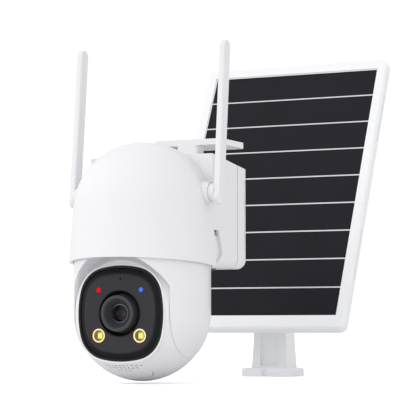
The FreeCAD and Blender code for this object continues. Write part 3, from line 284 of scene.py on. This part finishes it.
# ---------------------------------------------------------------- materials
M = {
    "white_plastic": moulded("white_plastic_look", (0.785, 0.785, 0.803), 0.34, coat=0.1),
    "panel_plastic": moulded("panel_plastic_look", (0.850, 0.856, 0.872), 0.38, grain=0.45),
    "bracket_plastic": moulded("bracket_plastic_look", (0.840, 0.842, 0.852), 0.46, grain=0.5, depth=0.02),
    "inner_plastic": moulded("inner_plastic_look", (0.36, 0.37, 0.39), 0.45),
    "black_plastic": moulded("black_plastic_look", (0.007, 0.007, 0.008), 0.30, warm=0.002, shine=0.3),
    "face_grey": face_plate("face_grey_look"),
    "acetal": moulded("acetal_look", (0.68, 0.68, 0.63), 0.4),
    "lens_black": moulded("lens_black_look", (0.052, 0.052, 0.058), 0.42, warm=0.002, depth=0.006,
                          shine=0.3),
    "lens_glass": coated_glass("lens_glass_look", (0.010, 0.008, 0.012), seen=0.22),
    "white_light": lamp("phosphor_look", (1.0, 0.82, 0.08), 0.35, 0.5),
    "reflector": metal("reflector_look", (0.62, 0.54, 0.44), 0.22, brush=0.02),
    "red_light": lamp("red_light_look", (0.90, 0.0, 0.0), 0.35),
    "blue_light": lamp("blue_light_look", (0.045, 0.17, 0.85), 0.25),
    "rubber_white": rubber("white_rubber_look", (0.60, 0.60, 0.61)),
    "rubber_grey": rubber("grey_rubber_look", (0.10, 0.10, 0.105)),
    "steel": metal("steel_look", (0.62, 0.62, 0.64), 0.28),
    "screw_dark": metal("dark_screw_look", (0.10, 0.10, 0.11), 0.35),
    "bearing_steel": metal("bearing_look", (0.50, 0.50, 0.52), 0.22),
    "motor_steel": metal("motor_can_look", (0.48, 0.48, 0.50), 0.30, along="Z"),
    "board_green": solder_mask("board_look", (0.02, 0.13, 0.05)),
    "battery_wrap": moulded("battery_wrap_look", (0.05, 0.17, 0.30), 0.28, coat=0.4),
    "cell_glass": solar_cells("solar_cell_look"),
    "ribbon_metal": metal("ribbon_look", (0.66, 0.66, 0.69), 0.35, along="X"),
}
BAY_RADIUS = (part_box("pan_cup")[1].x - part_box("pan_cup")[0].x) / 2
PAN_AXIS_Y = (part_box("pan_cup")[1].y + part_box("pan_cup")[0].y) / 2
M["head_bay"] = head_bay("head_bay_look", (0.785, 0.785, 0.803))
# Looks of the small pieces that this script adds.
M.update({
    "bead": moulded("bead_look", (0.90, 0.90, 0.91), 0.30, grain=0.2),
    "gauze": metal("gauze_look", (0.22, 0.22, 0.23), 0.45, brush=0.08),
    "ring_black": metal("retainer_look", (0.10, 0.12, 0.14), 0.20, along="Y", brush=0.03),
    "ridge_black": moulded("baffle_look", (0.0020, 0.0030, 0.0036), 0.55, warm=0.001, depth=0.003,
                           shine=0.12),
    "inner_glass_red": coated_glass("inner_red_look", (0.10, 0.02, 0.02), seen=0.6),
    "inner_glass_amber": coated_glass("inner_amber_look", (0.60, 0.34, 0.18), seen=0.9),
    "warm_rim": lamp("warm_rim_look", (1.0, 0.83, 0.36), 0.22, 0.3),
    "facets": metal("facet_look", (0.42, 0.34, 0.30), 0.16, brush=0.03),
    "ceramic": moulded("ceramic_look", (0.78, 0.74, 0.62), 0.3, warm=0.03),
})
for entry in frame["record"]["subparts"]:
    body = NODES[entry["node"]]
    body.data.materials.clear()
    body.data.materials.append(M[entry["material_slot"]])

# The pan cup carries the look with painted bounce light in its recess.
NODES["pan_cup"].data.materials[0] = M["head_bay"]

# ---------------------------------------------------------------- small pieces built here
AXIS_Z = (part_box("lens_barrel")[0].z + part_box("lens_barrel")[1].z) / 2
BARREL_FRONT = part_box("lens_barrel")[0].y


def add_piece(name, verts, faces, look, body, crease=None):
    """A mesh piece in the row frame, riding on a body of the CAD model."""
    mesh = bpy.data.meshes.new(name)
    mesh.from_pydata(verts, [], faces)
    mesh.validate()
    made = bpy.data.objects.new(name, mesh)
    scene.collection.objects.link(made)
    mesh.materials.append(look)
    bm = bmesh.new()
    bm.from_mesh(mesh)
    bmesh.ops.remove_doubles(bm, verts=bm.verts, dist=1e-7)
    bmesh.ops.recalc_face_normals(bm, faces=bm.faces)
    bm.to_mesh(mesh)
    bm.free()
    mesh.shade_smooth()
    if crease is not None:
        mesh.set_sharp_from_angle(angle=math.radians(crease))
    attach(made, body)
    return made


def turned(name, profile, middle, look, body, steps=96, axis="y", crease=35):
    """A piece turned about an axis: profile is a closed loop of (radius, place along the axis) in mm."""
    verts, faces = [], []
    for step in range(steps):
        turn = 2 * math.pi * step / steps
        for radius, along in profile:
            a = radius * math.cos(turn) * MM
            b = radius * math.sin(turn) * MM
            c = along * MM
            if axis == "y":
                verts.append((middle[0] + a, middle[1] + c, middle[2] + b))
            elif axis == "x":
                verts.append((middle[0] + c, middle[1] + a, middle[2] + b))
            else:
                verts.append((middle[0] + a, middle[1] + b, middle[2] + c))
    count = len(profile)
    for step in range(steps):
        one, two = step * count, (step + 1) % steps * count
        for n in range(count):
            m = (n + 1) % count
            faces.append((one + n, one + m, two + m, two + n))
    return add_piece(name, verts, faces, look, body, crease=crease)


def lens_stack():
    """Stepped baffle, retaining ring and the elements behind the front glass."""
    middle = (0.0, BARREL_FRONT, AXIS_Z)
    mouth, throat, start, depth, ridges = 10.85, 7.15, 0.25, 4.5, 9
    run = (mouth - throat) / ridges
    outer = [(mouth, start)]
    for n in range(ridges):
        outer.append((mouth - run * n - run * 0.25, start + depth * (n + 0.75) / ridges))
        outer.append((mouth - run * (n + 1), start + depth * (n + 0.85) / ridges))
    inner = [(radius - 0.12, along) for radius, along in reversed(outer)]
    turned("lens_baffle", outer + inner, middle, M["ridge_black"], "camera_head", crease=20)
    for number, (reach, deep) in enumerate(((10.35, 0.75), (9.3, 2.1), (8.2, 3.4))):
        edge = [(reach + 0.11 * math.cos(a), deep + 0.11 * math.sin(a)) for a in
                [math.radians(60 * n) for n in range(6)]]
        turned("baffle_edge_%d" % number, edge, middle, M["ring_black"], "camera_head")
    ring = [(6.95, 4.9), (6.95, 5.15), (6.1, 5.25), (5.95, 5.05), (6.15, 4.75)]
    turned("lens_retainer", ring, middle, M["ring_black"], "camera_head", crease=30)
    dome = [(0.0, 9.6)] + [(3.9 * math.sin(a), 11.2 - 1.6 * math.cos(a)) for a in
                           [math.radians(10 * n) for n in range(1, 10)]] + [(3.9, 11.8), (0.0, 11.8)]
    turned("lens_element_second", dome, middle, M["inner_glass_red"], "camera_head", steps=48)
    small = [(0.0, 13.2)] + [(2.4 * math.sin(a), 14.2 - 1.0 * math.cos(a)) for a in
                             [math.radians(15 * n) for n in range(1, 7)]] + [(2.4, 14.8), (0.0, 14.8)]
    turned("lens_element_third", small, middle, M["inner_glass_amber"], "camera_head", steps=48)
    tube = [(4.12, 9.4), (4.12, 15.2), (4.0, 15.2), (4.0, 14.0), (3.96, 12.6), (4.0, 9.6)]
    turned("lens_inner_tube", tube, middle, M["ridge_black"], "camera_head", steps=48)


def spotlights():
    """Warm rim, faceted reflector and chip base of each spotlight."""
    low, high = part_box("spotlight_cups")
    front, level = low.y, (low.z + high.z) / 2
    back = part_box("spotlight_chips")[1].y - 0.02 * MM
    half = 2.2 * MM
    for side, word in ((-1, "left"), (1, "right")):
        x = side * ((high.x - low.x) / 2 - (high.z - low.z) / 2)
        middle = (x, front, level)
        rim = [(5.0, 0.1), (5.0, -0.25), (4.7, -0.5), (4.3, -0.5), (4.05, -0.2), (3.98, 0.1)]
        turned("spotlight_rim_" + word, rim, middle, M["warm_rim"], "camera_head", steps=72)
        cone = [(3.9, 0.12), (3.35, 1.2), (2.95, 2.2), (2.8, 2.2), (3.15, 1.1), (3.75, 0.1)]
        turned("spotlight_reflector_" + word, cone, middle, M["facets"], "camera_head", steps=16,
               crease=8)
        outline = ((-1, -0.8), (-0.8, -1), (0.8, -1), (1, -0.8), (1, 0.8), (0.8, 1), (-0.8, 1), (-1, 0.8))
        base = [(x + u * half, back + depth, level + w * half) for depth in (-0.35 * MM, 0.1 * MM)
                for u, w in outline]
        ends = [tuple(range(8)), tuple(range(15, 7, -1))]
        sides = [(n, (n + 1) % 8, (n + 1) % 8 + 8, n + 8) for n in range(8)]
        add_piece("chip_base_" + word, base, ends + sides, M["ceramic"], "camera_head",
                  crease=30)


def laminate_bead():
    """The white bead that seals the laminate to the panel frame, a quarter-round strip all the way round."""
    low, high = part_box("cell_strips")
    lean_sin, lean_cos = math.sin(PANEL_LEAN), math.cos(PANEL_LEAN)
    up, out = Vector((0, lean_sin, lean_cos)), Vector((0, -lean_cos, lean_sin))
    rise = (high.z - low.z - LAMINATE_THICK * lean_sin) / lean_cos
    middle = Vector(((low.x + high.x) / 2, low.y, low.z + LAMINATE_THICK * lean_sin)) + up * rise / 2
    half_wide, half_rise = (high.x - low.x) / 2, rise / 2
    section = [(0.25, -0.1), (-0.75, -0.1)] + [(-0.75 + 1.0 * math.sin(a), -0.1 + 0.55 * math.cos(a)) for a in
                                              [math.radians(18 * n) for n in range(6)]]
    verts, faces = [], []
    for across, along in ((-1, -1), (1, -1), (1, 1), (-1, 1)):
        for inward, proud in section:
            x = across * (half_wide + inward * MM)
            verts.append(tuple(middle + Vector((x, 0, 0)) + up * along * (half_rise + inward * MM)
                               + out * proud * MM))
    count = len(section)
    for corner in range(4):
        one, two = corner * count, (corner + 1) % 4 * count
        for n in range(count):
            faces.append((one + n, one + (n + 1) % count, two + (n + 1) % count, two + n))
    add_piece("laminate_bead", verts, faces, M["bead"], "panel", crease=40)


def knob_grip():
    """A moulded rib ring and a pressed-in cap on the outer face of the clamp knob."""
    low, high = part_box("hinge_knob")
    middle = (high.x, (low.y + high.y) / 2, (low.z + high.z) / 2)
    cap = [(0.02, -0.01), (3.4, -0.06), (4.1, -0.41), (4.1, -0.96), (0.02, -0.96)]
    turned("knob_cap", cap, middle, M["inner_plastic"], "clamp_knob", axis="x", steps=48)
    rib = [(5.0, -0.05), (5.35, -0.02), (5.7, -0.05), (5.7, -0.5), (5.0, -0.5)]
    turned("knob_rib", rib, middle, M["bracket_plastic"], "clamp_knob", axis="x", steps=72)


def speaker_mesh():
    """The fine gauze stretched behind the speaker holes, with its crimped ring."""
    low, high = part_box("speaker")
    middle = ((low.x + high.x) / 2, (low.y + high.y) / 2, low.z)
    gauze = [(0.02, -0.75), (5.0, -0.7), (9.0, -0.45), (12.4, 0.1), (12.4, -0.1), (9.0, -0.6), (5.0, -0.85),
             (0.02, -0.9)]
    turned("speaker_gauze", gauze, middle, M["gauze"], "camera_head", axis="z", steps=64)


lens_stack()
spotlights()
laminate_bead()
knob_grip()
speaker_mesh()

# ---------------------------------------------------------------- camera
VIEW_FROM = Vector((617.8, -1278.6, -148.4)) * MM
VIEW_RISE, VIEW_TURN = 3.877, 25.5
camera = bpy.data.objects.new("view_camera", bpy.data.cameras.new("view_camera"))
camera.data.lens = 155.77
camera.data.sensor_width = 36.0
camera.location = VIEW_FROM
camera.rotation_euler = (math.radians(90 + VIEW_RISE), 0, math.radians(VIEW_TURN))
camera.data.clip_end = 100
scene.collection.objects.link(camera)
scene.camera = camera

# ---------------------------------------------------------------- floor, light
floor_z = CAD_BOX[0][2] - 0.2 * MM
mesh = bpy.data.meshes.new("floor")
corners = ((-30, -30), (30, -30), (30, 30), (-30, 30))
mesh.from_pydata([(x, y, floor_z) for x, y in corners], [], [(0, 1, 2, 3)])
floor = bpy.data.objects.new("floor", mesh)
scene.collection.objects.link(floor)
floor_tree = Tree("floor_look")
seen_floor = floor_tree.math("MULTIPLY", floor_tree.add("LightPath").outputs["Is Camera Ray"], 0.42)
floor_look = floor_tree.set(Base_Color=(0.82, 0.82, 0.83), Roughness=0.9, Specular_IOR_Level=0.1,
                            Emission_Color=(1.0, 1.0, 1.0), Emission_Strength=seen_floor)
floor.data.materials.append(floor_look)

world = bpy.data.worlds.new("studio")
scene.world = world
world.use_nodes = True
wn, wl = world.node_tree.nodes, world.node_tree.links
ground = wn["Background"]
coords = wn.new("ShaderNodeTexCoord")
dot = wn.new("ShaderNodeVectorMath")
dot.operation = "DOT_PRODUCT"
dot.inputs[1].default_value = Vector((-0.58, -0.50, 0.65)).normalized()
wl.new(coords.outputs["Generated"], dot.inputs[0])
ramp = wn.new("ShaderNodeMapRange")
for name, value in (("From Min", -1.0), ("From Max", 1.0), ("To Min", 0.50), ("To Max", 1.20)):
    ramp.inputs[name].default_value = value
wl.new(dot.outputs["Value"], ramp.inputs["Value"])
path = wn.new("ShaderNodeLightPath")
pick = wn.new("ShaderNodeMix")
wl.new(path.outputs["Is Camera Ray"], pick.inputs["Factor"])
wl.new(ramp.outputs["Result"], pick.inputs["A"])
pick.inputs["B"].default_value = 1.05
wl.new(pick.outputs["Result"], ground.inputs["Strength"])
ground.inputs["Color"].default_value = (1, 1, 1, 1)


def softbox(name, place, aim, wide, high, power):
    light = bpy.data.lights.new(name, "AREA")
    light.shape = "RECTANGLE"
    light.size, light.size_y, light.energy = wide, high, power
    made = bpy.data.objects.new(name, light)
    made.location = place
    made.visible_camera = False
    made.visible_glossy = False
    made.rotation_euler = (Vector(aim) - Vector(place)).to_track_quat("-Z", "Y").to_euler()
    scene.collection.objects.link(made)
    return made


softbox("key_light", (-1.1, -1.2, 0.8), (0, 0, -0.05), 1.0, 1.0, 5.0)
softbox("rim_light", (1.5, 0.15, 0.2), (0, 0.1, -0.08), 0.5, 1.0, 3.0)
softbox("head_fill", (0.10, -0.36, -0.20), (-0.03, -0.02, -0.08), 0.12, 0.12, 0.14)

scene.view_settings.view_transform = "Standard"
scene.view_settings.look = "None"
